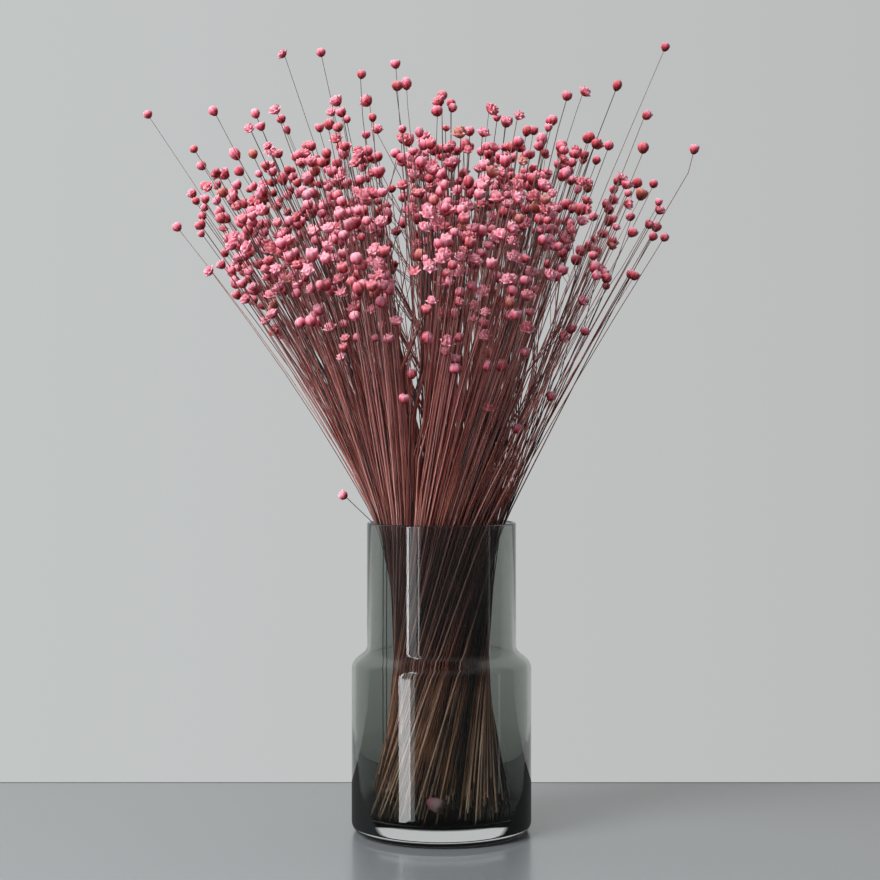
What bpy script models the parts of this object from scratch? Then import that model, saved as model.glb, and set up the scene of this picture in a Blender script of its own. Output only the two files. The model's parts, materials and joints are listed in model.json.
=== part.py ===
"""Dried glixia in a stepped glass vase.

Metres, +Z up. The origin is the centre of the vase's underside, on the table. The bunch is a twisted
sheaf: every stem stands straight and askew on the vase's floor, so that the sheaf is narrowest at its
waist in the shoulder of the vase, leans on the rim, and splays above it. One rule, stem_point, gives
every stem its course, and because it only turns and widens the sheaf no two stems ever cross.
"""

import math

import bmesh
import bpy
from mathutils import Matrix, Vector

# The vase: a thick-bottomed cylinder with a sloping shoulder and a narrower straight neck
VASE_HEIGHT = 0.240
BODY_RADIUS = 0.0702
NECK_RADIUS = 0.05825
WALL = 0.003
BASE_THICKNESS = 0.013
SHOULDER_FOOT = 0.1310
SHOULDER_TOP = 0.1402
SHOULDER_FOOT_ROUND = 0.010
SHOULDER_TOP_ROUND = 0.008
FOOT_ROUND = 0.0045
FLOOR_ROUND = 0.004
ARC_STEPS = 3
TURN_STEPS = 40

# The sheaf of stems
CLEARANCE = 0.0003
STEM_RADIUS = 0.0006
STEM_SIDES = 6
WAIST_HEIGHT = 0.140
WAIST_RADIUS = 0.0375
LEAN = 9.43  # sideways lean per metre of height, for each metre that a stem stands from the axis
SPLAY_START = 0.235
SPLAY = 0.20
SPLAY_GROWTH = 0.25
FREE_HEIGHT = VASE_HEIGHT + 0.003
BEND_HEIGHTS = (0.225, 0.245, 0.275, 0.315, 0.360, 0.410, 0.465, 0.525)

# The crown: how high the flowers reach, from the middle of the bunch out to its edge and its front
CROWN_HEIGHT = 0.572
CROWN_EDGE_DROP = 0.105
CROWN_FRONT_DROP = 0.20
CROWN_DEPTH = 0.115
CROWN_FLOWERS = 26
GOLDEN_ANGLE = math.pi * (3 - math.sqrt(5))
GOLDEN_STEP = (math.sqrt(5) - 1) / 2

# Heads, as (distance along the stem, radius): a closed bud, a half-open cup and an open star
BUD = ((0.0, 0.0009), (0.0025, 0.0026), (0.0055, 0.0038), (0.0085, 0.0031), (0.0105, 0.0010))
CUP = ((0.0, 0.0009), (0.0025, 0.0030), (0.0055, 0.0042), (0.0100, 0.0046), (0.0070, 0.0018))
STAR = ((0.0, 0.0009), (0.0022, 0.0029), (0.0044, 0.0046), (0.0064, 0.0066), (0.0046, 0.0022))
LOOSE = ((0.0, 0.0009), (0.0030, 0.0030), (0.0065, 0.0042), (0.0100, 0.0035), (0.0125, 0.0012))

# Flowers that stand clear of the crown, as (x, y, z) of the top of the stem and the kind of head
STRAYS = (
    (-0.2330, 0.020, 0.5620, BUD),
    (0.1790, 0.030, 0.6180, BUD),
    (0.1970, 0.012, 0.5185, CUP),
    (-0.1270, 0.050, 0.6150, STAR),
    (-0.0905, -0.020, 0.5890, BUD),
    (-0.0345, -0.050, 0.5870, CUP),
    (0.1335, -0.040, 0.5730, BUD),
    (-0.2000, 0.040, 0.5020, CUP),
    (-0.2015, -0.030, 0.4660, BUD),
    (-0.1750, -0.060, 0.4340, STAR),
    (-0.1720, -0.080, 0.4930, STAR),
    (-0.1400, -0.010, 0.5470, CUP),
    (0.1740, 0.060, 0.5140, BUD),
    (0.1660, -0.005, 0.4640, BUD),
    (0.1450, -0.060, 0.4280, CUP),
    (0.1145, -0.090, 0.4100, BUD),
    (-0.0715, -0.115, 0.4100, STAR),
    (-0.0850, -0.020, 0.2690, CUP),
    (-0.0215, -0.095, 0.3510, BUD),
    (-0.0380, -0.105, 0.3760, CUP),
    (0.0325, -0.098, 0.3560, BUD),
    (0.0575, -0.058, 0.3140, BUD),
    (0.0825, -0.040, 0.3370, CUP),
    (0.0960, -0.056, 0.3850, CUP),
    (-0.1065, -0.080, 0.4120, BUD),
    (-0.1500, -0.034, 0.4140, STAR),
    (0.1090, -0.030, 0.3860, BUD),
    (0.0300, 0.1900, 0.5150, BUD),
    (-0.0900, 0.1650, 0.4950, STAR),
    (0.1000, 0.1550, 0.4700, CUP),
    (0.0250, -0.1780, 0.4700, CUP),
    (-0.0680, -0.1600, 0.4480, BUD),
)

# The head that has dropped into the vase and is caught askew between the glass and the stems
FALLEN_BEARING = math.radians(-95)
FALLEN_ASKEW = math.radians(43)
FALLEN_RADIUS = 0.06145
FALLEN_HEIGHT = 0.031


def material(name, colour, roughness, transmission=0.0):
    made = bpy.data.materials.new(name)
    made.use_nodes = True
    shader = made.node_tree.nodes["Principled BSDF"]
    shader.inputs["Base Color"].default_value = (*colour, 1.0)
    shader.inputs["Roughness"].default_value = roughness
    shader.inputs["Metallic"].default_value = 0.0
    shader.inputs["Transmission Weight"].default_value = transmission
    return made


def add_object(name, mesh_data, finish):
    bmesh.ops.recalc_face_normals(mesh_data, faces=mesh_data.faces)
    mesh = bpy.data.meshes.new(name)
    mesh_data.to_mesh(mesh)
    mesh_data.free()
    mesh.shade_smooth()
    mesh.set_sharp_from_angle(angle=math.radians(50))
    mesh.materials.append(finish)
    made = bpy.data.objects.new(name, mesh)
    bpy.context.collection.objects.link(made)
    return made


def rounded_corner(before, corner, after, radius):
    """The points of an arc of the given radius that blends the two straight runs at a corner."""
    inward = (Vector(before) - Vector(corner)).normalized()
    onward = (Vector(after) - Vector(corner)).normalized()
    half = inward.angle(onward) / 2
    centre = Vector(corner) + (inward + onward).normalized() * radius / math.sin(half)
    start = Vector(corner) + inward * radius / math.tan(half) - centre
    end = Vector(corner) + onward * radius / math.tan(half) - centre
    return [centre + start.slerp(end, step / ARC_STEPS) * radius for step in range(ARC_STEPS + 1)]


def vase_outline():
    """Half of the vase's section, from the middle of the underside round to the middle of the floor."""
    slope = math.atan2(SHOULDER_TOP - SHOULDER_FOOT, BODY_RADIUS - NECK_RADIUS)
    inner_drop = WALL * math.tan((math.pi / 2 - slope) / 2)
    lip = 0.48 * WALL
    corners = (
        (BODY_RADIUS, 0.0, FOOT_ROUND),
        (BODY_RADIUS, SHOULDER_FOOT, SHOULDER_FOOT_ROUND),
        (NECK_RADIUS, SHOULDER_TOP, SHOULDER_TOP_ROUND),
        (NECK_RADIUS, VASE_HEIGHT, lip),
        (NECK_RADIUS - WALL, VASE_HEIGHT, lip),
        (NECK_RADIUS - WALL, SHOULDER_TOP - inner_drop, SHOULDER_TOP_ROUND + WALL),
        (BODY_RADIUS - WALL, SHOULDER_FOOT - inner_drop, SHOULDER_FOOT_ROUND - WALL),
        (BODY_RADIUS - WALL, BASE_THICKNESS, FLOOR_ROUND),
    )
    axis_low, axis_high = (0.0, 0.0), (0.0, BASE_THICKNESS)
    places = [axis_low, *[corner[:2] for corner in corners], axis_high]
    outline = [Vector(axis_low)]
    for index, corner in enumerate(corners, start=1):
        outline += rounded_corner(places[index - 1], places[index], places[index + 1], corner[2])
    outline.append(Vector(axis_high))
    return outline


def make_vase():
    shape = bmesh.new()
    points = [shape.verts.new((point.x, 0.0, point.y)) for point in vase_outline()]
    edges = [shape.edges.new(pair) for pair in zip(points, points[1:])]
    bmesh.ops.spin(
        shape, geom=points + edges, cent=(0, 0, 0), axis=(0, 0, 1), dvec=(0, 0, 0),
        angle=math.tau, steps=TURN_STEPS, use_merge=True,
    )
    bmesh.ops.remove_doubles(shape, verts=shape.verts, dist=0.00001)
    return add_object("vase", shape, smoked_glass)


def reach(height):
    """Radius of the sheaf at a height."""
    straight = WAIST_RADIUS * math.hypot(1, LEAN * (height - WAIST_HEIGHT))
    above = max(0.0, height - SPLAY_START)
    return straight + SPLAY * above + SPLAY_GROWTH * above**2


def turn(height):
    """How far the sheaf has turned at a height, counted from its waist."""
    return math.atan(LEAN * (height - WAIST_HEIGHT))


def stem_point(share, bearing, height):
    """Where a stem passes a height: share is its place between the axis, 0, and the edge, 1."""
    radius = share * reach(height)
    angle = bearing + turn(height)
    return Vector((radius * math.cos(angle), radius * math.sin(angle), height))


def stem_course(top):
    """Points along a stem from the vase's floor to its top, which also settles where it stands.

    A share over 1 is a stem at the edge of the sheaf that leans out further once it is over the rim.
    """
    share = math.hypot(top.x, top.y) / reach(top.z)
    bearing = math.atan2(top.y, top.x) - turn(top.z)
    start = BASE_THICKNESS + CLEARANCE
    heights = [start, *[level for level in BEND_HEIGHTS if level < top.z - 0.012], top.z]
    held = min(share, 1.0)
    course = []
    for height in heights:
        freed = max(0.0, height - FREE_HEIGHT) / (top.z - FREE_HEIGHT)
        course.append(stem_point(held + (share - held) * freed, bearing, height))
    return course


def ring_place(centre, direction):
    """The frame of a ring that stands square to a stem."""
    return Matrix.Translation(centre) @ direction.to_track_quat("Z", "Y").to_matrix().to_4x4()


def loft(rings):
    """One closed body through rings, each a frame and a radius, with its two ends filled."""
    shape = bmesh.new()
    ends = (0, len(rings) - 1)
    loops = []
    for index, (place, radius) in enumerate(rings):
        made = bmesh.ops.create_circle(
            shape, cap_ends=index in ends, segments=STEM_SIDES, radius=radius, matrix=place
        )
        loops.append({edge for corner in made["verts"] for edge in corner.link_edges})
    for lower, upper in zip(loops, loops[1:]):
        bmesh.ops.bridge_loops(shape, edges=[*lower, *upper])
    return shape


def make_flower(name, top, head):
    """A flower as it grew: a thin bare stem, cut level at the foot, that widens into its head."""
    course = stem_course(top)
    rings = [(Matrix.Translation(course[0]), STEM_RADIUS)]
    for below, here, above in zip(course, course[1:], course[2:]):
        rings.append((ring_place(here, above - below), STEM_RADIUS))
    along = (course[-1] - course[-2]).normalized()
    for distance, radius in head:
        rings.append((ring_place(course[-1] + along * distance, along), radius))
    return add_object(name, loft(rings), dried_flower)


def crown_height(share, depth):
    """How high the crown stands over a stem: lower towards the edge of the bunch and at its front."""
    return CROWN_HEIGHT - CROWN_EDGE_DROP * share**4 - CROWN_FRONT_DROP * max(0.0, -depth)


def crown_top(index):
    """The top of one of the evenly spread flowers of the crown, at its own depth below the surface."""
    share = 0.93 * math.sqrt((index + 0.5) / CROWN_FLOWERS)
    bearing = index * GOLDEN_ANGLE
    level = stem_point(share, bearing, CROWN_HEIGHT)
    height = crown_height(share, level.y) - CROWN_DEPTH * ((index * GOLDEN_STEP) % 1.0)
    return stem_point(share, bearing, height)


def make_fallen_head():
    """A loose head on its side, with its stem end against the stems and its tip against the glass."""
    outward = Vector((math.cos(FALLEN_BEARING), math.sin(FALLEN_BEARING), 0.0))
    centre = outward * FALLEN_RADIUS + Vector((0.0, 0.0, FALLEN_HEIGHT))
    along = Matrix.Rotation(FALLEN_ASKEW, 3, "Z") @ outward
    rings = []
    for distance, radius in LOOSE:
        rings.append((ring_place(centre + along * (distance - 0.5 * LOOSE[-1][0]), along), radius))
    return add_object("fallen_flower_head", loft(rings), dried_flower)


for old in list(bpy.data.objects):
    bpy.data.objects.remove(old, do_unlink=True)

smoked_glass = material("smoked_glass", (0.30, 0.32, 0.31), 0.03, transmission=1.0)
dried_flower = material("dried_flower", (0.55, 0.20, 0.22), 0.75)

make_vase()
tops = [(crown_top(index), (BUD, CUP, BUD, STAR)[index % 4]) for index in range(CROWN_FLOWERS)]
tops += [(Vector(stray[:3]), stray[3]) for stray in STRAYS]
for number, (top, head) in enumerate(tops, start=1):
    make_flower(f"flower_{number:02d}", top, head)
make_fallen_head()
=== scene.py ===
"""Dried glixia in a smoked glass vase: the looks of every piece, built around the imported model."""

import json
import math
import random

import bmesh
import bpy
import numpy as np
from mathutils import Matrix, Vector

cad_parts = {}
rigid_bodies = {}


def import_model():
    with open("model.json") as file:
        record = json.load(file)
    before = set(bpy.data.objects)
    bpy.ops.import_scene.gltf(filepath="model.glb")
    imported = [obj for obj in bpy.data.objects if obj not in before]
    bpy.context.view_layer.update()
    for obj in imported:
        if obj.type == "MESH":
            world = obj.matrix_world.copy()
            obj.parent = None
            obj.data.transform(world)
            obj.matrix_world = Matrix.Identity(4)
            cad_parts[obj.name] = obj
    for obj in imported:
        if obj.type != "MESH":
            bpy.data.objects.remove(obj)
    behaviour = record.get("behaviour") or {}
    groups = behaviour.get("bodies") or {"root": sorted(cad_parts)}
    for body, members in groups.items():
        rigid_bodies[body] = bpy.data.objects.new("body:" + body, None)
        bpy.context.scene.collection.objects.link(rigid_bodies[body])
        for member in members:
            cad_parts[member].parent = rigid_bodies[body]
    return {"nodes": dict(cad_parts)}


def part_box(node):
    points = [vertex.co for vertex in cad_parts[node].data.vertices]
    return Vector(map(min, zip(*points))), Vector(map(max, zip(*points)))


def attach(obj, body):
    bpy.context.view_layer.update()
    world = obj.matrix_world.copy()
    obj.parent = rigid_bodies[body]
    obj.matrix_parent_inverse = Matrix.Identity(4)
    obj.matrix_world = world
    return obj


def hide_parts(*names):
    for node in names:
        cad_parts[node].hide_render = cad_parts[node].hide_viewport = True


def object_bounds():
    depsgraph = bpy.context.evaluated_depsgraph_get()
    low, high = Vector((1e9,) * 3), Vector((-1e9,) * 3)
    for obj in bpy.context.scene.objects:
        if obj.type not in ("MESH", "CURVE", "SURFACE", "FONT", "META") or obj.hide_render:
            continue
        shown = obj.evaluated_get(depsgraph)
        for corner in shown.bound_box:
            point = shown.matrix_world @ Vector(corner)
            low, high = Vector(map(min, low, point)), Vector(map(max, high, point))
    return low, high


for old in list(bpy.data.objects):
    bpy.data.objects.remove(old, do_unlink=True)
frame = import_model()
cad_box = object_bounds()

# ---------------------------------------------------------------------------------------------
# The vase. One piece of mouth-blown soda glass: a smoke-grey wall over a thick clear base, blown
# thin in the neck and left thicker towards the foot, with a fire-polished rim. It is seen through,
# so both skins of its wall carry the smoke, and the underside carries none.
# ---------------------------------------------------------------------------------------------


def srgb(code):
    """A colour written as sRGB hex, as the linear values that a shader takes."""
    values = [int(code[place : place + 2], 16) / 255 for place in (1, 3, 5)]
    return (*[v / 12.92 if v <= 0.04045 else ((v + 0.055) / 1.055) ** 2.4 for v in values], 1.0)


def add_node(material, kind, settings=None, links=None):
    """Adds a node with its settings and links: names that are inputs go to the socket's value."""
    node = material.node_tree.nodes.new(kind)
    for name, value in (settings or {}).items():
        if isinstance(name, int) or name in node.inputs:
            node.inputs[name].default_value = value
        else:
            setattr(node, name, value)
    for name, source in (links or {}).items():
        material.node_tree.links.new(source, node.inputs[name])
    return node


def new_material(name):
    made = bpy.data.materials.new(name)
    made.use_nodes = True
    made.node_tree.nodes.clear()
    return made


def finish_material(material, surface):
    add_node(material, "ShaderNodeOutputMaterial", links={"Surface": surface})
    return material


def colour_stops(material, factor, stops):
    """A colour ramp with one stop for each (position, sRGB hex)."""
    ramp = add_node(material, "ShaderNodeValToRGB", links={"Fac": factor})
    while len(ramp.color_ramp.elements) < len(stops):
        ramp.color_ramp.elements.new(0.5)
    for element, (position, code) in zip(ramp.color_ramp.elements, stops):
        element.position = position
        element.color = srgb(code)
    return ramp.outputs["Color"]


def mesh_object(name, shape, materials):
    mesh = bpy.data.meshes.new(name)
    shape.to_mesh(mesh)
    shape.free()
    for finish in materials:
        mesh.materials.append(finish)
    made = bpy.data.objects.new(name, mesh)
    bpy.context.scene.collection.objects.link(made)
    return made


vase_low, vase_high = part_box("vase")
VASE_HEIGHT = vase_high[2]
BODY_RADIUS = (vase_high[0] - vase_low[0]) / 2
NECK_RADIUS = 0.83 * BODY_RADIUS
NECK_WALL = 0.0028
BODY_WALL = 0.0030
# The wall thickens from this height down to the floor
TAPER_TOP = 0.078
FLOOR_WALL = 0.0078
BASE_THICKNESS = 0.013
SHOULDER_FOOT = 0.1310
SHOULDER_TOP = 0.1402
CASE_STEPS = 168


def arc_corner(before, corner, after, radius, steps):
    """Points of an arc that rounds the corner between two straight runs of an outline."""
    inward = (Vector(before) - Vector(corner)).normalized()
    onward = (Vector(after) - Vector(corner)).normalized()
    half = inward.angle(onward) / 2
    centre = Vector(corner) + (inward + onward).normalized() * radius / math.sin(half)
    start = Vector(corner) + inward * radius / math.tan(half) - centre
    end = Vector(corner) + onward * radius / math.tan(half) - centre
    return [centre + start.slerp(end, step / steps) * radius for step in range(steps + 1)]


def outline_from(corners, start, end):
    places = [start, *[(c[0], c[1]) for c in corners], end]
    points = [Vector(start)]
    for index, (_, _, radius, steps) in enumerate(corners, start=1):
        points += arc_corner(places[index - 1], places[index], places[index + 1], radius, steps)
    return [*points, Vector(end)]


def turned(outline, steps):
    shape = bmesh.new()
    points = [shape.verts.new((max(p.x, 0.0), 0.0, p.y)) for p in outline]
    edges = [shape.edges.new(pair) for pair in zip(points, points[1:])]
    bmesh.ops.spin(
        shape, geom=points + edges, cent=(0, 0, 0), axis=(0, 0, 1), dvec=(0, 0, 0),
        angle=math.tau, steps=steps, use_merge=True,
    )
    bmesh.ops.remove_doubles(shape, verts=shape.verts, dist=0.00001)
    bmesh.ops.recalc_face_normals(shape, faces=shape.faces)
    for face in shape.faces:
        face.smooth = True
    return shape


def number_stops(material, factor, points):
    """A number that follows a factor through points, as (factor, number)."""
    curve = add_node(material, "ShaderNodeFloatCurve", links={"Value": factor})
    line = curve.mapping.curves[0]
    line.points[0].location, line.points[1].location = points[0], points[-1]
    for point in points[1:-1]:
        line.points.new(*point)
    for point in line.points:
        point.handle_type = "VECTOR"
    curve.mapping.update()
    return curve.outputs["Value"]


def painted_shade_on_thick_glass(material, level):
    """Painted shade on the glass: black under its foot, and at the grazing edges of its thick, smoky lower
    wall.
    """
    foot = number_stops(material, level, (
        (0.0, 0.0), (0.001, 1.0), (0.0165, 1.0), (0.0195, 0.0), (1.0, 0.0),
    ))
    edge = number_stops(material, level, (
        (0.0, 1.0), (0.018, 1.0), (0.022, 0.24), (0.056, 0.32), (0.104, 0.43), (0.154, 0.54),
        (0.236, 0.60), (0.275, 0.90), (0.30, 1.0), (1.0, 1.0),
    ))
    facing = add_node(material, "ShaderNodeLayerWeight", {"Blend": 0.5}).outputs["Facing"]
    past = add_node(material, "ShaderNodeMath", {"operation": "SUBTRACT"}, {0: facing, 1: edge}).outputs[0]
    side = add_node(
        material, "ShaderNodeMapRange", {"From Min": 0.0, "From Max": 0.06}, {"Value": past}
    ).outputs["Result"]
    # Painted shade: black under the foot, and at the edges where the lower wall is seen at a slant
    painted_shade = add_node(material, "ShaderNodeMath", {"operation": "MAXIMUM"}, {0: side, 1: foot}).outputs[0]
    within = add_node(material, "ShaderNodeNewGeometry").outputs["Backfacing"]
    outside = add_node(material, "ShaderNodeMath", {"operation": "SUBTRACT", 0: 1.0}, {1: within}).outputs[0]
    return add_node(material, "ShaderNodeMath", {"operation": "MULTIPLY"}, {0: painted_shade, 1: outside}).outputs[0]


def glass(name, stops, shade_stops, thick=False):
    """Clear, polished glass with a tint by height, which throws a shadow tinted by shade_stops; a thick one
    also carries painted shade on its thick parts.
    """
    made = new_material(name)
    place = add_node(made, "ShaderNodeTexCoord").outputs["Object"]
    up = add_node(made, "ShaderNodeSeparateXYZ", links={"Vector": place}).outputs["Z"]
    level = add_node(made, "ShaderNodeMapRange", {"From Max": VASE_HEIGHT}, {"Value": up}).outputs["Result"]
    body = add_node(
        made, "ShaderNodeBsdfPrincipled",
        {"Roughness": 0.0, "IOR": 1.50, "Transmission Weight": 1.0},
        {"Base Color": colour_stops(made, level, stops)},
    )
    seen = body.outputs["BSDF"]
    if thick:
        # Painted shade on the thick parts, shown in place of the view through them: near black at the foot
        # and at the grazing edges of the lower wall
        painted_shade_glass = add_node(
            made, "ShaderNodeBsdfPrincipled", {"Roughness": 0.0, "IOR": 1.50},
            {"Base Color": colour_stops(made, level, ((0.014, "#040505"), (0.020, "#202322")))},
        )
        seen = add_node(
            made, "ShaderNodeMixShader",
            links={0: painted_shade_on_thick_glass(made, level), 1: seen, 2: painted_shade_glass.outputs["BSDF"]},
        ).outputs["Shader"]
    shade = add_node(
        made, "ShaderNodeBsdfTransparent", links={"Color": colour_stops(made, level, shade_stops)}
    )
    path = add_node(made, "ShaderNodeLightPath")
    shader = add_node(
        made, "ShaderNodeMixShader",
        links={0: path.outputs["Is Shadow Ray"], 1: seen, 2: shade.outputs["BSDF"]},
    )
    return finish_material(made, shader.outputs["Shader"])


# Smoke grey by height, from the table up: darkest at the floor, where the blown wall is thickest. The
# near-black stops at the floor and its inner corner are painted shade.
# Light crosses two skins in each wall, so each has the square root of the wall's colour
SMOKE_AND_FLOOR_SHADE = (
    (0.058, "#0f100f"), (0.074, "#40433f"), (0.09, "#838782"), (0.11, "#929692"), (0.16, "#9ca09c"),
    (0.27, "#a3a7a3"), (0.30, "#aeb2ae"), (0.42, "#b4b8b4"), (0.54, "#bbbfbc"), (1.0, "#bdc1be"),
)
# The thick clear base bends the light aside, so that it throws a dark shadow on the table
# The outer skin carries painted shade under its foot and at the edges of its thick lower wall
outer_skin = glass(
    "smoke_grey_glass_over_clear_base",
    ((0.0, "#fafcfb"), (0.056, "#fafcfb"), *SMOKE_AND_FLOOR_SHADE),
    ((0.0, "#0c0d0d"), (0.05, "#202222"), (0.08, "#d4d6d5"), (0.29, "#e0e2e1"), (1.0, "#e2e4e3")),
    thick=True,
)
inner_skin = glass(
    "smoke_grey_cased_glass",
    SMOKE_AND_FLOOR_SHADE,
    ((0.054, "#7c807d"), (0.11, "#ccd0ce"), (0.29, "#d4d8d5"), (1.0, "#d8dbd9")),
)


def make_vase():
    """The vase, turned from its outline: up the outside, over the rim and down to its floor."""
    slope = math.atan2(SHOULDER_TOP - SHOULDER_FOOT, BODY_RADIUS - NECK_RADIUS)
    inner_drop = BODY_WALL * math.tan((math.pi / 2 - slope) / 2)
    lip = 0.49 * NECK_WALL
    # Each corner's distance from the axis, height, rounding and steps
    corners = (
        (BODY_RADIUS, 0.0, 0.0075, 8),
        (BODY_RADIUS, SHOULDER_FOOT, 0.010, 10),
        (NECK_RADIUS, SHOULDER_TOP, 0.008, 10),
        (NECK_RADIUS, VASE_HEIGHT, lip, 6),
        (NECK_RADIUS - NECK_WALL, VASE_HEIGHT, lip, 6),
        (NECK_RADIUS - NECK_WALL, SHOULDER_TOP - inner_drop, 0.011, 10),
        (BODY_RADIUS - BODY_WALL, SHOULDER_FOOT - inner_drop, 0.007, 10),
        (BODY_RADIUS - BODY_WALL, TAPER_TOP, 0.200, 4),
        (BODY_RADIUS - FLOOR_WALL, BASE_THICKNESS, 0.005, 8),
    )
    outline = outline_from(corners, (0.0, 0.0), (0.0, BASE_THICKNESS))
    shape = turned(outline, CASE_STEPS)
    for face in shape.faces:
        middle = face.calc_center_median()
        faces_axis = face.normal.dot(Vector((middle.x, middle.y, 0.0))) < 0
        is_floor = face.normal.z > 0.5 and middle.z < TAPER_TOP
        if faces_axis or is_floor:
            face.material_index = 1
    return mesh_object("cased_glass_vase", shape, [outer_skin, inner_skin])


vase = make_vase()
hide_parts("vase")
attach(vase, "root")

# ---------------------------------------------------------------------------------------------
# How the bunch grows out of the vase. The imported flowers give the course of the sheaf: each is one
# real stem, and every other stem of the bunch widens and turns with them. The stems are grouped
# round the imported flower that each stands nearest, and each group is one spray.
# ---------------------------------------------------------------------------------------------

LEVEL_STEP = 0.005
WAIST = 0.140
RIM = VASE_HEIGHT
# A packed flower is bare stem where it is thinner than this, and head above that
BARE_RADIUS = 0.0013
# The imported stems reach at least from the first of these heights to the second
STEMS_FROM = 0.0165
STEMS_TO = 0.595
draw = random.Random(11)


def sections(node):
    """A packed flower's middle and radius at every level that it passes: [(height, x + iy, radius)]."""
    mesh = frame["nodes"][node].data
    places = np.array([vertex.co for vertex in mesh.vertices])
    ends = places[np.array([edge.vertices for edge in mesh.edges])]
    low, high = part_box(node)
    found = []
    for level in np.arange(low[2] + 0.001, high[2], LEVEL_STEP):
        crossing = ends[(ends[:, :, 2].min(axis=1) < level) & (ends[:, :, 2].max(axis=1) >= level)]
        share = (level - crossing[:, 0, 2]) / (crossing[:, 1, 2] - crossing[:, 0, 2])
        cut = crossing[:, 0] + (crossing[:, 1] - crossing[:, 0]) * share[:, None]
        middle = complex(*(cut.min(axis=0) + cut.max(axis=0))[:2]) / 2
        found.append((level, middle, abs(cut[:, 0] + 1j * cut[:, 1] - middle).max()))
    return found


packed = {}
for node in sorted(name for name in frame["nodes"] if name.startswith("flower_")):
    passed = sections(node)
    bare = [row for row in passed if row[2] < BARE_RADIUS]
    packed[node] = {
        "heights": np.array([row[0] for row in bare]),
        "middles": np.array([row[1] for row in bare]),
        "head": max(row[2] for row in passed),
    }
    packed[node]["waist"] = complex(np.interp(WAIST, packed[node]["heights"], packed[node]["middles"]))

# The sheaf at each level, against its waist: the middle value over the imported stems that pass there
levels = np.arange(0.015, 0.62, LEVEL_STEP)
widening = []
turning = []
for level in levels:
    seen = [
        complex(np.interp(level, p["heights"], p["middles"])) / p["waist"]
        for p in packed.values()
        if p["heights"][-1] >= min(level, STEMS_TO) and p["heights"][0] <= max(level, STEMS_FROM)
    ]
    widening.append(float(np.median([abs(s) for s in seen])))
    turning.append(float(np.median([math.atan2(s.imag, s.real) for s in seen])))
# The waist's own radius, which leaves out the three stems that stand widest
waist_radius = sorted(abs(p["waist"]) for p in packed.values())[-4]


def sheaf(height):
    """How much wider than at its waist the sheaf is at a height, and how far it has turned."""
    wide = float(np.interp(height, levels, widening))
    angle = float(np.interp(height, levels, turning))
    return wide * complex(math.cos(angle), math.sin(angle))


# ---------------------------------------------------------------------------------------------
# The stems. Thin bare flower stalks, dried like straw and dyed head downwards in the vat, so that
# the dye is mahogany over the rim and fades to bare straw at the foot, with painted shade where they
# stand in the neck. They stand loose in the vase, held only by one another.
# ---------------------------------------------------------------------------------------------

# A stem's radius at its foot, over the rim, in the crown and under its head
STEM_SHARES = (0.0, 0.42, 0.70, 1.0)
STEM_RADII = (0.00064, 0.00054, 0.00038, 0.00028)
CROWN_TOP = 0.895 * cad_box[1][2]
# The bunch parts where it was shaken out, as (place across it from -1 to 1, half the gap). The
# gaps open over the first length above the rim, and close over the second from PARTED_TO up
PARTINGS = (
    (-0.40, 0.007), (-0.19, 0.066), (-0.03, 0.008), (0.12, 0.010), (0.19, 0.014), (0.46, 0.010),
    (0.62, 0.045), (0.82, 0.025),
)
OPENS_OVER = 0.14
CLOSES_OVER = 0.20
PARTED_TO = 0.44
# A stem takes up its own course over this length above the rim, and the whole bunch leans left
SETTLES_OVER = 0.30
BUNCH_LEAN = -0.010
# The stems were not all pushed down: a few stand on the floor, and the rest hang up to this above it
FOOT_LIFT = 0.034
# Heights at which a stem's course is drawn, between its foot and its head
BEND_LEVELS = (
    0.200, 0.228, 0.240, 0.252, 0.268, 0.290, 0.320, 0.355, 0.395, 0.435, 0.475, 0.515, 0.555,
)


def crown_height(share, spot):
    """The crown is a dome that hangs lower towards its left edge and its front, most at the right."""
    side = spot.x / max(0.01, spot.xy.length)
    droop = (0.30 + 0.16 * side) * max(0.0, -spot.y)
    return CROWN_TOP - (0.075 - 0.025 * side) * share**2.5 - droop


def random_drop():
    """How far under the dome a head ends: most within 0.1 m, and a few lower or standing out of it."""
    if draw.random() < 0.05:
        return draw.uniform(-0.030, 0.0)
    if draw.random() < 0.97:
        return draw.triangular(0.0, 0.106, 0.030)
    return draw.uniform(0.07, 0.15)


def parted(spot, height, settle):
    """Moves a stem sideways out of the bunch's partings."""
    reach = waist_radius * abs(sheaf(height))
    across = spot.real / reach
    shift = 0.0
    for place, width in PARTINGS:
        off = across - place
        shift += math.copysign(width * math.exp(-((off / (3 * width)) ** 2)), off)
    return spot + shift * reach * settle


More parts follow.
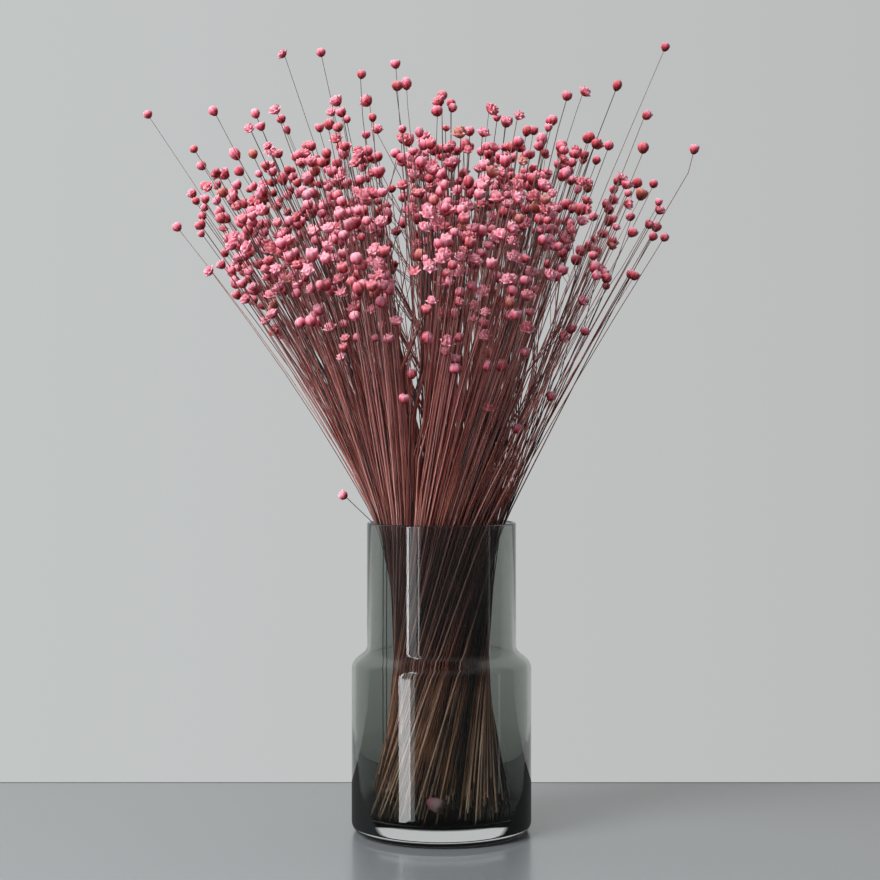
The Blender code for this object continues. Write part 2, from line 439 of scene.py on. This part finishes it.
class Flower:
    """One flower of the bunch: where it passes the sheaf's waist, and how it bends on its own."""

    def __init__(self, waist, node, packed_one=False, upright=False):
        self.waist, self.node, self.packed_one, self.upright = waist, node, packed_one, upright
        # How far it is drawn to its packed flower, gives way to the partings and sways by itself
        self.pull = draw.uniform(0.08, 0.30)
        self.give = draw.uniform(0.45, 1.15)
        bearing = draw.uniform(0.0, math.tau)
        self.sway = abs(draw.gauss(0.0, 0.010)) * complex(math.cos(bearing), math.sin(bearing))
        self.sway += BUNCH_LEAN
        crown_side = (waist * sheaf(0.50)).real / abs(waist * sheaf(0.50))
        self.spill = 1 + 0.07 * max(0.0, -crown_side)
        self.foot = BASE_THICKNESS + 0.0004
        if not packed_one:
            self.foot += draw.triangular(0.0, FOOT_LIFT, 0.45 * FOOT_LIFT)

    def at(self, height):
        """Where the stem passes a height."""
        if self.packed_one:
            own = packed[self.node]
            if height <= own["heights"][-1]:
                spot = complex(np.interp(height, own["heights"], own["middles"]))
            else:
                rise = own["heights"][-1] - own["heights"][-4]
                slope = (own["middles"][-1] - own["middles"][-4]) / rise
                spot = own["middles"][-1] + slope * (height - own["heights"][-1])
            return Vector((spot.real, spot.imag, height))
        rise = min(1.0, max(0.0, (height - RIM) / SETTLES_OVER))
        settle = rise * rise * (3 - 2 * rise)
        lead = packed[self.node]["waist"]
        level = max(height, RIM) if self.upright else height
        spot = (self.waist + (lead - self.waist) * self.pull * settle) * sheaf(level)
        spot = spot * (1 + (self.spill - 1) * settle) + self.sway * rise * rise
        opened = min(1.0, max(0.0, (height - RIM) / OPENS_OVER))
        shut = min(1.0, max(0.0, (height - PARTED_TO) / CLOSES_OVER))
        spot = parted(spot, level, opened * (1 - shut) * self.give)
        return Vector((spot.real, spot.imag, height))

    def course(self):
        """The points of the stem, from its foot to its head."""
        heights = [self.foot]
        heights += [level for level in BEND_LEVELS if level < self.height - 0.01]
        return [self.at(height) for height in [*heights, self.height]]


BOX_SPILL = 0.004
HEAD_HEIGHT = 0.012


def inside(spot):
    """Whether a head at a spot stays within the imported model's box, or just past it."""
    return all(
        cad_box[0][axis] - BOX_SPILL < spot[axis] < cad_box[1][axis] + BOX_SPILL - (axis == 2) * HEAD_HEIGHT
        for axis in range(3)
    )


# Heads this far apart are clear of each other, and the best of a few heights is taken
CLEAR_OF_HEADS = 0.007
TRIES = 5


def settle_height(flower, taken):
    """Picks the height at which the flower's head stands clear of its neighbours."""
    share = min(1.0, abs(flower.waist) / waist_radius)
    best = None
    for _ in range(TRIES):
        height = crown_height(share, flower.at(0.50)) - random_drop()
        spot = flower.at(height)
        near = min((spot - other).length for other in taken)
        near = min(near, CLEAR_OF_HEADS) if inside(spot) else -1.0
        if best is None or near > best[0]:
            best = (near, height, spot)
    flower.height = best[1]
    taken.append(best[2])


flowers = []
taken = []
for node, own in packed.items():
    leader = Flower(own["waist"], node, packed_one=True)
    leader.height = float(own["heights"][-1])
    flowers.append(leader)
    taken.append(leader.at(leader.height))
nodes_in_order = list(packed)
leads = np.array([packed[node]["waist"] for node in nodes_in_order])

# No added stem stands nearer than this to the fallen head
LOOSE_ROOM = 0.0105
loose_low, loose_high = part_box("fallen_flower_head")
loose_head = (Vector(loose_low) + Vector(loose_high)) / 2

# The stems are spread over the waist as seeds are in a sunflower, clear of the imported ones
FLOWERS = 1400
WAIST_FILLED = 0.985
STEM_ROOM = 0.0011
GOLDEN_ANGLE = math.pi * (3 - math.sqrt(5))
# The right side of the bunch is thinner than the rest, more so towards its edge
RIGHT_EDGE = 0.43
RIGHT_THINNING = 2.0
MOST_THINNED = 0.82


def nearest_node(waist):
    """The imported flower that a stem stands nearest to, at the waist."""
    return nodes_in_order[int(abs(leads - waist).argmin())]


for index in range(FLOWERS - len(packed)):
    share = math.sqrt((index + 0.5) / (FLOWERS - len(packed))) * WAIST_FILLED
    bearing = index * GOLDEN_ANGLE + draw.uniform(-0.02, 0.02)
    waist = share * waist_radius * complex(math.cos(bearing), math.sin(bearing))
    waist += complex(draw.gauss(0, 0.0003), draw.gauss(0, 0.0003))
    if abs(leads - waist).min() < STEM_ROOM:
        continue
    side = (waist * sheaf(0.45)).real / (waist_radius * abs(sheaf(0.45)))
    if draw.random() < min(MOST_THINNED, (side - RIGHT_EDGE) * RIGHT_THINNING):
        continue
    flower = Flower(waist, nearest_node(waist))
    if (flower.at(loose_head.z) - loose_head).length < LOOSE_ROOM:
        continue
    settle_height(flower, taken)
    flowers.append(flower)

# A few stems never went through the waist, and stand upright along the wall of the vase
for place in (complex(-0.0455, -0.006), complex(-0.0425, -0.010)):
    waist = place / sheaf(RIM)
    flower = Flower(waist, nearest_node(waist), upright=True)
    settle_height(flower, taken)
    flowers.append(flower)


def stem_material():
    """Dyed straw: a satin gloss along each stem, its colour by height with painted shade in the neck, and no
    two as dark.
    """
    made = new_material("dyed_straw_stem")
    place = add_node(made, "ShaderNodeTexCoord").outputs["Object"]
    up = add_node(made, "ShaderNodeSeparateXYZ", links={"Vector": place}).outputs["Z"]
    level = add_node(
        made, "ShaderNodeMapRange", {"From Min": 0.0, "From Max": 0.60}, {"Value": up}
    ).outputs["Result"]
    # The dip to its darkest at 0.30, where the stems stand in the neck below the rim, is painted shade
    dye_and_shade = colour_stops(made, level, (
        (0.02, "#dfb292"), (0.14, "#dba485"), (0.22, "#ab6a56"), (0.30, "#78443b"), (0.38, "#84463d"),
        (0.43, "#a8594b"), (0.56, "#a24c42"), (0.72, "#86423a"), (0.84, "#634139"), (1.0, "#4b463b"),
    ))
    # Soft bands where the straw dried darker, a few centimetres long
    bands = add_node(made, "ShaderNodeMapping", {"Scale": (40.0, 40.0, 30.0)}, {"Vector": place})
    band = add_node(
        made, "ShaderNodeTexNoise", {"Scale": 1.0, "Detail": 1.0}, {"Vector": bands.outputs["Vector"]}
    ).outputs["Fac"]
    tone = add_node(made, "ShaderNodeAttribute", {"attribute_name": "tone"}).outputs["Fac"]
    spread = add_node(
        made, "ShaderNodeMath", {"operation": "MULTIPLY_ADD", 1: 0.5}, {0: band, 2: tone}
    ).outputs["Value"]
    bright = add_node(
        made, "ShaderNodeMapRange",
        {"From Min": 0.25, "From Max": 1.25, "To Min": -0.08, "To Max": 2.42}, {"Value": spread},
    ).outputs["Result"]
    faded = add_node(
        made, "ShaderNodeMapRange",
        {"From Min": 0.3, "From Max": 1.8, "To Min": 1.35, "To Max": 0.76}, {"Value": bright},
    ).outputs["Result"]
    shade = add_node(
        made, "ShaderNodeHueSaturation",
        links={"Value": bright, "Saturation": faded, "Color": dye_and_shade},
    ).outputs["Color"]
    # Growth ridges run along the stem, a third of a millimetre apart
    ridges = add_node(
        made, "ShaderNodeMapping", {"Scale": (1 / 0.0004, 1 / 0.0004, 1 / 0.02)}, {"Vector": place}
    ).outputs["Vector"]
    ridge = add_node(made, "ShaderNodeTexNoise", {"Scale": 1.0, "Detail": 1.0}, {"Vector": ridges})
    bump = add_node(
        made, "ShaderNodeBump", {"Strength": 0.2, "Distance": 0.0001}, {"Height": ridge.outputs["Fac"]}
    )
    body = add_node(
        made, "ShaderNodeBsdfPrincipled",
        {"Roughness": 0.32, "IOR": 1.50, "Sheen Weight": 0.40, "Sheen Roughness": 0.5},
        {"Base Color": shade, "Normal": bump.outputs["Normal"]},
    )
    return finish_material(made, body.outputs["BSDF"])


straw = stem_material()


def stems_of(spray):
    """The stems of one spray as one mesh, each a tube that thins towards its head."""
    curve = bpy.data.curves.new("stems", "CURVE")
    curve.dimensions = "3D"
    curve.bevel_depth = 1.0
    curve.bevel_resolution = 1
    curve.use_fill_caps = True
    lengths = []
    for flower in spray:
        course = flower.course()
        spline = curve.splines.new("POLY")
        spline.points.add(len(course) - 1)
        for point, spot in zip(spline.points, course):
            share = (spot.z - BASE_THICKNESS) / (flower.height - BASE_THICKNESS)
            point.co = (*spot, 1.0)
            point.radius = float(flower.thick * np.interp(share, STEM_SHARES, STEM_RADII))
        lengths.append(len(course))
    drawn = bpy.data.objects.new("stems", curve)
    bpy.context.scene.collection.objects.link(drawn)
    bpy.context.view_layer.update()
    graph = bpy.context.evaluated_depsgraph_get()
    mesh = bpy.data.meshes.new_from_object(drawn.evaluated_get(graph))
    bpy.data.objects.remove(drawn)
    return mesh, lengths


# ---------------------------------------------------------------------------------------------
# The heads. Each is a knot of dry papery bracts that grew at the end of its stem: some still shut
# as a bud, some half open as a cup, some open flat as a star or a ruffled rosette. They are deep
# where the bracts meet the stem and pale on the tips, partly from the dye and partly as painted shade
# under each head and painted light on its tips; no two heads took the same dye.

MM = 0.001
# Each head is given as rings from the stem up its outside and over into its heart: radius and
# height in millimetres and bloom, which runs from 0 at the stem to 1 at the tips. A ring that is
# drawn out into tips also has the radius and height of the notches between them
SHUT = (
    (0.0, -0.1, 0.0), (1.8, 0.9, 0.10, 1.7, 0.9), (3.4, 3.0, 0.36, 3.2, 3.0),
    (3.7, 5.2, 0.64, 3.4, 5.1), (2.7, 7.3, 0.88, 2.2, 7.1), (1.1, 8.5, 1.0, 0.7, 7.9), (0.0, 7.8, 0.45),
)
ROUND = (
    (0.0, -0.1, 0.0), (2.1, 0.8, 0.10, 2.0, 0.8), (3.7, 2.8, 0.38, 3.5, 2.8),
    (3.8, 4.9, 0.68, 3.5, 4.8), (2.5, 6.8, 0.94, 2.0, 6.5), (0.9, 7.3, 1.0, 0.6, 6.8), (0.0, 6.7, 0.55),
)
PARTING = (
    (0.0, -0.1, 0.0), (2.1, 0.9, 0.12, 2.0, 0.9), (3.8, 3.0, 0.38, 3.5, 3.0),
    (4.1, 5.2, 0.68, 3.6, 5.0), (3.5, 7.4, 1.0, 2.6, 6.6), (2.0, 6.6, 0.92, 1.7, 6.3), (0.0, 6.3, 0.75),
)
CUPPED = (
    (0.0, -0.1, 0.0), (2.3, 0.9, 0.12, 2.2, 0.9), (3.9, 2.8, 0.40, 3.5, 2.8),
    (5.0, 5.6, 1.0, 3.6, 4.7), (3.2, 5.5, 0.82, 2.9, 5.8), (2.4, 7.1, 1.0, 1.7, 6.3), (0.0, 6.5, 0.80),
)
ROSETTE = (
    (0.0, -0.1, 0.0), (2.5, 1.1, 0.14, 2.3, 1.0), (5.6, 3.7, 1.0, 3.7, 2.9),
    (3.5, 4.2, 0.72, 3.9, 5.2), (3.1, 6.3, 1.0, 2.2, 5.2), (1.2, 5.9, 0.90, 1.6, 6.7), (0.0, 5.9, 0.92),
)
STARRED = (
    (0.0, -0.1, 0.0), (1.9, 1.2, 0.16, 1.8, 1.1), (5.8, 4.6, 1.0, 3.0, 2.8),
    (2.1, 3.4, 0.80, 1.9, 3.0), (1.1, 4.3, 1.0, 0.9, 3.7), (0.0, 3.8, 0.85),
)


def head_shape(rings, sides, ragged=0.0, crisp=False):
    """A head turned from its rings and drawn out into bracts, as a mesh and its blooms."""
    shape = bmesh.new()
    ring = shape.verts.layers.int.new("ring")
    points = [shape.verts.new((row[0] * MM, 0.0, row[1] * MM)) for row in rings]
    for number, point in enumerate(points):
        point[ring] = number
    edges = [shape.edges.new(pair) for pair in zip(points, points[1:])]
    bmesh.ops.spin(
        shape, geom=points + edges, cent=(0, 0, 0), axis=(0, 0, 1), dvec=(0, 0, 0),
        angle=math.tau, steps=sides, use_merge=True,
    )
    bmesh.ops.remove_doubles(shape, verts=shape.verts, dist=0.01 * MM)
    blooms = []
    for vert in shape.verts:
        row = rings[vert[ring]]
        notch = round(math.atan2(vert.co.y, vert.co.x) / math.tau * sides) % 2
        blooms.append(row[2])
        if len(row) == 5 and notch:
            vert.co = Vector((vert.co.x * row[3] / row[0], vert.co.y * row[3] / row[0], row[4] * MM))
            # Painted shade: the notches between the bract tips are drawn darker
            blooms[-1] -= 0.22
        elif len(row) == 5:
            vert.co.xy *= draw.uniform(1 - ragged, 1 + ragged)
            vert.co.z += draw.uniform(-2.5, 2.5) * ragged * MM
    bmesh.ops.recalc_face_normals(shape, faces=shape.faces)
    for face in shape.faces:
        face.smooth = not crisp
    mesh = bpy.data.meshes.new("head")
    shape.to_mesh(mesh)
    shape.free()
    return mesh, blooms


# Each kind of head in a few shapes, by its rings, its sides, how ragged its tips are and whether
# its bracts are creased
HEADS = {
    "bud": [head_shape(SHUT, 10, 0.03), head_shape(ROUND, 10, 0.03), head_shape(ROUND, 12, 0.03)],
    "parting": [head_shape(PARTING, sides, 0.07) for sides in (10, 12, 12)],
    "cup": [head_shape(CUPPED, sides, 0.08, True) for sides in (10, 12, 12)],
    "rosette": [head_shape(ROSETTE, sides, 0.08, True) for sides in (12, 12, 12)],
    "star": [head_shape(STARRED, sides, 0.10, True) for sides in (12, 14)],
}


# A packed head is opened as far as its radius says, from the widest kind down
PACKED_KINDS = (("star", 0.0062), ("rosette", 0.0055), ("cup", 0.0051), ("parting", 0.0042), ("bud", 0.0))


def choose_kind(flower):
    if flower.packed_one:
        width = packed[flower.node]["head"]
        return next(kind for kind, least in PACKED_KINDS if width >= least)
    return draw.choices(
        ("bud", "parting", "cup", "rosette", "star"), weights=(0.36, 0.20, 0.22, 0.20, 0.02)
    )[0]


def bract_material():
    """Dry papery bracts: matt and creased, deep at the stem and pale at the tips with painted shade and
    light, and blotched.
    """
    made = new_material("dyed_papery_bracts")
    bloom = add_node(made, "ShaderNodeAttribute", {"attribute_name": "bloom"}).outputs["Fac"]
    tone = add_node(made, "ShaderNodeAttribute", {"attribute_name": "tone"}).outputs["Fac"]
    place = add_node(made, "ShaderNodeTexCoord").outputs["Object"]
    # Blotches where the dye dried, about 2 mm across, and the nap of the bracts, about 0.5 mm
    blotch = add_node(
        made, "ShaderNodeTexNoise", {"Scale": 1 / 0.0020, "Detail": 3.0}, {"Vector": place}
    ).outputs["Fac"]
    nap = add_node(
        made, "ShaderNodeTexNoise", {"Scale": 1 / 0.0006, "Detail": 2.0}, {"Vector": place}
    ).outputs["Fac"]
    shifted = add_node(
        made, "ShaderNodeMath", {"operation": "MULTIPLY_ADD", 1: 0.40}, {0: blotch, 2: bloom}
    ).outputs["Value"]
    along = add_node(
        made, "ShaderNodeMath", {"operation": "SUBTRACT", 1: 0.20}, {0: shifted}
    ).outputs["Value"]
    # Deep at the stem and pale at the tips: partly the dye, partly painted shade under the head and painted
    # light on its tips
    rose = colour_stops(made, along, (
        (0.0, "#74211f"), (0.20, "#b24048"), (0.42, "#e06a80"), (0.68, "#f090a4"),
        (0.88, "#f6adbb"), (1.0, "#f8cbd1"),
    ))
    brick = colour_stops(made, along, (
        (0.0, "#571617"), (0.25, "#9c3336"), (0.52, "#c8535f"), (0.80, "#e2808d"), (1.0, "#efb1b6"),
    ))
    salmon = colour_stops(made, along, (
        (0.0, "#6c2f26"), (0.30, "#9f4b3f"), (0.60, "#c06c64"), (0.82, "#d98e88"), (1.0, "#e3ae9f"),
    ))
    redder = add_node(
        made, "ShaderNodeMapRange", {"From Min": 0.55, "From Max": 0.75}, {"Value": tone}
    ).outputs["Result"]
    browner = add_node(
        made, "ShaderNodeMapRange", {"From Min": 0.965, "From Max": 0.985}, {"Value": tone}
    ).outputs["Result"]
    # Sockets 0, 6, 7 and 2 of a colour mix are its factor, its two colours and its result
    pink = add_node(
        made, "ShaderNodeMix", {"data_type": "RGBA"}, {0: redder, 6: rose, 7: brick}
    ).outputs[2]
    dye_and_shade = add_node(
        made, "ShaderNodeMix", {"data_type": "RGBA"}, {0: browner, 6: pink, 7: salmon}
    ).outputs[2]
    bump = add_node(
        made, "ShaderNodeBump", {"Strength": 0.5, "Distance": 0.0004}, {"Height": nap}
    )
    body = add_node(
        made, "ShaderNodeBsdfPrincipled",
        {"Roughness": 0.6, "IOR": 1.40, "Specular IOR Level": 0.35},
        {"Base Color": dye_and_shade, "Normal": bump.outputs["Normal"]},
    )
    return finish_material(made, body.outputs["BSDF"])


bracts = bract_material()


def add_head(shape, layers, kind, place, tone):
    """Sets one head into a mesh: its bracts carry their bloom and its tone."""
    mesh, blooms = draw.choice(HEADS[kind])
    first_vert, first_face = len(shape.verts), len(shape.faces)
    shape.from_mesh(mesh)
    shape.verts.ensure_lookup_table()
    shape.faces.ensure_lookup_table()
    fresh = shape.verts[first_vert:]
    bmesh.ops.transform(shape, matrix=place, verts=fresh)
    for vert, value in zip(fresh, blooms):
        vert[layers[0]] = value
        vert[layers[1]] = tone
    for face in shape.faces[first_face:]:
        face.material_index = 1


def head_place(flower):
    """Where and how a flower's head sits: in line with its stem, give or take a nod."""
    top = flower.at(flower.height)
    along = (top - flower.at(flower.height - 0.012)).normalized()
    outward = Vector((top.x, top.y, 0.0)).normalized()
    open_wide = flower.kind in ("cup", "rosette", "star")
    facing = along + outward * (draw.uniform(0.0, 0.7) if open_wide else 0.0)
    loose = 0.05 if flower.packed_one else 0.32 if open_wide else 0.16
    facing += Vector([draw.gauss(0.0, loose) for _ in range(3)])
    turned_to = facing.to_track_quat("Z", "Y").to_matrix().to_4x4()
    spin = Matrix.Rotation(draw.uniform(0.0, math.tau), 4, "Z")
    size = Matrix.Diagonal((flower.size, flower.size, flower.size * flower.length, 1.0))
    return Matrix.Translation(top) @ turned_to @ spin @ size


def make_spray(name, spray):
    """One spray as one mesh: the stems and heads that stand round one packed flower."""
    shape = bmesh.new()
    layers = [shape.verts.layers.float.new(kind) for kind in ("bloom", "tone")]
    stems, lengths = stems_of(spray)
    shape.from_mesh(stems)
    bpy.data.meshes.remove(stems)
    shape.verts.ensure_lookup_table()
    for face in shape.faces:
        face.smooth = True
    sides = len(shape.verts) // sum(lengths)
    start = 0
    for flower, length in zip(spray, lengths):
        for vert in shape.verts[start : start + length * sides]:
            vert[layers[1]] = flower.tone
        start += length * sides
    for flower in spray:
        if flower.kind:
            add_head(shape, layers, flower.kind, head_place(flower), flower.tone)
    return mesh_object(name, shape, [straw, bracts])


# About one added flower in thirty has lost its head
HEADLESS = 0.03
for flower in flowers:
    flower.kind = choose_kind(flower)
    flower.tone = draw.random()
    flower.thick = draw.uniform(0.75, 1.25)
    if flower.upright:
        flower.tone, flower.thick = 0.02, 0.6
    flower.size = 1.0 if flower.packed_one else draw.triangular(0.74, 1.34, 1.02)
    flower.length = draw.uniform(0.88, 1.12)
    if not flower.packed_one and draw.random() < HEADLESS:
        flower.kind = None

for node in nodes_in_order:
    spray = make_spray(node.replace("flower", "spray"), [f for f in flowers if f.node == node])
    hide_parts(node)
    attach(spray, "root")

# ---------------------------------------------------------------------------------------------
# The fallen head. One parting bud that has dropped off its stem and is caught on its side, low in
# the vase, between the glass and the stems.
# ---------------------------------------------------------------------------------------------

# Where it lies round the vase, how far it has turned and nodded, and how far in from the glass
LOOSE_BEARING = math.radians(-95)
LOOSE_ASKEW = math.radians(66)
LOOSE_NOD = math.radians(-20)
LOOSE_INWARD = 0.0048
LOOSE_HALF_LENGTH = 0.0072
LOOSE_SIZE = (1.35, 1.35, 2.05)
LOOSE_FADED = 0.58
LOOSE_TONE = 0.2
outward = Vector((math.cos(LOOSE_BEARING), math.sin(LOOSE_BEARING), 0.0))
along = Matrix.Rotation(LOOSE_ASKEW, 3, "Z") @ outward
along = (along + Vector((0.0, 0.0, math.sin(LOOSE_NOD)))).normalized()
middle = loose_head - outward * LOOSE_INWARD
foot = Matrix.Translation(middle - along * LOOSE_HALF_LENGTH)
lying = foot @ along.to_track_quat("Z", "Y").to_matrix().to_4x4() @ Matrix.Diagonal((*LOOSE_SIZE, 1.0))
shape = bmesh.new()
layers = [shape.verts.layers.float.new(kind) for kind in ("bloom", "tone")]
add_head(shape, layers, "parting", lying, LOOSE_TONE)
for vert in shape.verts:
    vert[layers[0]] += LOOSE_FADED
for face in shape.faces:
    face.material_index = 0
fallen = mesh_object("fallen_head", shape, [bracts])
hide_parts("fallen_flower_head")
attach(fallen, "root")

# ---------------------------------------------------------------------------------------------
# The studio: a pale grey table, a pale wall behind it, soft light from above, a tall window to
# the left of the camera whose panes shine in the glass, and a dim room in front.
# ---------------------------------------------------------------------------------------------

TABLE_DEPTH = 0.185
TABLE_FRONT = 2.2
TABLE_SIDE = 2.5
TABLE_GAP = 0.0004
# The wall leans back by this much over its height, clear of the crown
WALL_LEAN = 0.36
WALL_HEIGHT = 3.0


def plain_sheet(name, finish, corner, across, up):
    """A flat sheet from one corner, spread along two of its sides."""
    shape = bmesh.new()
    bmesh.ops.create_grid(shape, x_segments=1, y_segments=1, size=0.5)
    spread = Matrix((
        (across[0], up[0], 0.0, corner[0] + (across[0] + up[0]) / 2),
        (across[1], up[1], 0.0, corner[1] + (across[1] + up[1]) / 2),
        (across[2], up[2], 1.0, corner[2] + (across[2] + up[2]) / 2),
        (0.0, 0.0, 0.0, 1.0),
    ))
    bmesh.ops.transform(shape, matrix=spread, verts=shape.verts)
    sheet = mesh_object(name, shape, [finish])
    return sheet


def table_material():
    """A satin painted table top under a coat that mirrors faintly, a little paler at its front as painted
    light.
    """
    made = new_material("painted_table")
    place = add_node(made, "ShaderNodeTexCoord").outputs["Object"]
    away = add_node(made, "ShaderNodeSeparateXYZ", links={"Vector": place}).outputs["Y"]
    level = add_node(
        made, "ShaderNodeMapRange", {"From Min": -0.20, "From Max": TABLE_DEPTH}, {"Value": away}
    ).outputs["Result"]
    # Painted light: the top is paler towards its front and darker towards the wall
    colour = colour_stops(made, level, ((0.0, "#85888a"), (0.55, "#808385"), (1.0, "#7d8082")))
    body = add_node(
        made, "ShaderNodeBsdfPrincipled",
        {"Roughness": 0.30, "Coat Weight": 0.65, "Coat Roughness": 0.16, "Coat IOR": 1.5},
        {"Base Color": colour},
    )
    return finish_material(made, body.outputs["BSDF"])


def wall_material():
    """A wall that shows its own colour with painted light, brightest left of its middle and dimmer to the
    right, and painted shade towards its far ends; it keeps no shadow, and is seen through from behind.
    """
    made = new_material("painted_wall")
    place = add_node(made, "ShaderNodeTexCoord").outputs["Object"]
    across = add_node(made, "ShaderNodeSeparateXYZ", links={"Vector": place}).outputs["X"]
    level = add_node(
        made, "ShaderNodeMapRange", {"From Min": -1.2, "From Max": 1.2}, {"Value": across}
    ).outputs["Result"]
    # Painted light and shade: brightest left of the middle, dimmer to the right, and dark towards both far
    # ends
    colour = colour_stops(made, level, (
        (0.0, "#4a4b4b"), (0.28, "#c3c7c6"), (0.5, "#c0c2c2"), (0.72, "#bababa"), (1.0, "#484848"),
    ))
    shown = add_node(made, "ShaderNodeEmission", links={"Color": colour})
    lit = add_node(made, "ShaderNodeBsdfDiffuse", {"Color": srgb("#c4c6c6")})
    path = add_node(made, "ShaderNodeLightPath")
    scattered = add_node(
        made, "ShaderNodeMixShader",
        links={
            0: path.outputs["Is Diffuse Ray"],
            1: shown.outputs["Emission"],
            2: lit.outputs["BSDF"],
        },
    )
    side = add_node(made, "ShaderNodeNewGeometry").outputs["Backfacing"]
    clear = add_node(made, "ShaderNodeBsdfTransparent").outputs["BSDF"]
    one_sided = add_node(
        made, "ShaderNodeMixShader", links={0: side, 1: scattered.outputs["Shader"], 2: clear}
    )
    return finish_material(made, one_sided.outputs["Shader"])


across = (2 * TABLE_SIDE, 0.0, 0.0)
table = plain_sheet(
    "table", table_material(),
    (-TABLE_SIDE, -TABLE_FRONT, -TABLE_GAP), across, (0.0, TABLE_FRONT + TABLE_DEPTH, 0.0),
)
table.visible_glossy = False
plain_sheet(
    "wall", wall_material(), (-TABLE_SIDE, TABLE_DEPTH, 0.0), across, (0.0, WALL_LEAN, WALL_HEIGHT)
)


def soft_box(name, place, aim, size, power, in_gloss=True):
    """A rectangle of soft light at a place, turned to face another."""
    light = bpy.data.lights.new(name, "AREA")
    light.shape = "RECTANGLE"
    light.size, light.size_y = size
    light.energy = power
    light.color = (0.96, 0.98, 1.0)
    lamp = bpy.data.objects.new(name, light)
    lamp.location = place
    lamp.rotation_euler = (Vector(aim) - Vector(place)).to_track_quat("-Z", "Y").to_euler()
    lamp.visible_camera = False
    lamp.visible_transmission = False
    lamp.visible_glossy = in_gloss
    bpy.context.scene.collection.objects.link(lamp)


def pane(name, bearing, distance, bottom, top, width, brightness):
    """An upright pane of light at a bearing from the front, as bright as a surface of that white."""
    angle = math.radians(bearing)
    x, y, z = distance * math.sin(angle), -distance * math.cos(angle), (bottom + top) / 2
    power = brightness * math.pi * width * (top - bottom)
    soft_box(name, (x, y, z), (0.0, 0.0, z), (width, top - bottom), power)


# Each pane by its bearing, distance, bottom, top, width and brightness
pane("window_left_light", -51.7, 1.48, 0.0, 1.2, 0.10, 10.5)
pane("window_middle", -43.0, 1.50, 0.0, 1.2, 0.28, 1.7)
pane("window_right_light", -34.4, 1.48, 0.0, 1.2, 0.06, 4.5)
pane("window_foot_left", -46.6, 1.52, -0.42, -0.01, 0.42, 7.6)
pane("window_foot_right", -37.0, 1.52, -0.42, -0.01, 0.20, 1.9)
pane("doorway", 77.0, 1.8, -0.4, 1.0, 0.10, 0.7)
pane("window_head", -44.0, 1.48, 1.24, 1.90, 0.34, 7.0)
soft_box("key", (-1.60, -1.25, 2.25), (0.0, 0.0, 0.35), (1.1, 1.1), 76, in_gloss=False)
soft_box("overhead", (-0.2, -0.3, 1.9), (0.0, 0.0, 0.3), (1.4, 1.4), 8, in_gloss=False)

world = bpy.data.worlds.new("room")
world.use_nodes = True
sky = world.node_tree.nodes["Background"]
sky.inputs["Color"].default_value = srgb("#f6f7f8")
# Glass mirrors a room that is dim in front of the object and has a bright ceiling. The light that
# the room scatters on everything else is even
mirrored = add_node(world, "ShaderNodeLightPath").outputs["Is Glossy Ray"]
around = add_node(world, "ShaderNodeTexCoord").outputs["Generated"]
upward = add_node(world, "ShaderNodeSeparateXYZ", links={"Vector": around}).outputs["Z"]
ceiling = add_node(
    world, "ShaderNodeMapRange",
    {"From Min": 0.30, "From Max": 0.95, "To Min": 0.08, "To Max": 0.35}, {"Value": upward},
).outputs["Result"]
strength = add_node(world, "ShaderNodeMix", {"A": 0.14}, {"Factor": mirrored, "B": ceiling})
world.node_tree.links.new(strength.outputs["Result"], sky.inputs["Strength"])
bpy.context.scene.world = world

camera = bpy.data.cameras.new("camera")
camera.lens = 73.2
camera.sensor_width = 36.0
camera.shift_x = -0.0017
camera.shift_y = -0.0114
view = bpy.data.objects.new("camera", camera)
view.location = (0.0, -1.4, 0.312)
view.rotation_euler = (math.radians(90), 0.0, 0.0)
bpy.context.scene.collection.objects.link(view)
bpy.context.scene.camera = view
bpy.context.scene.view_settings.view_transform = "Standard"
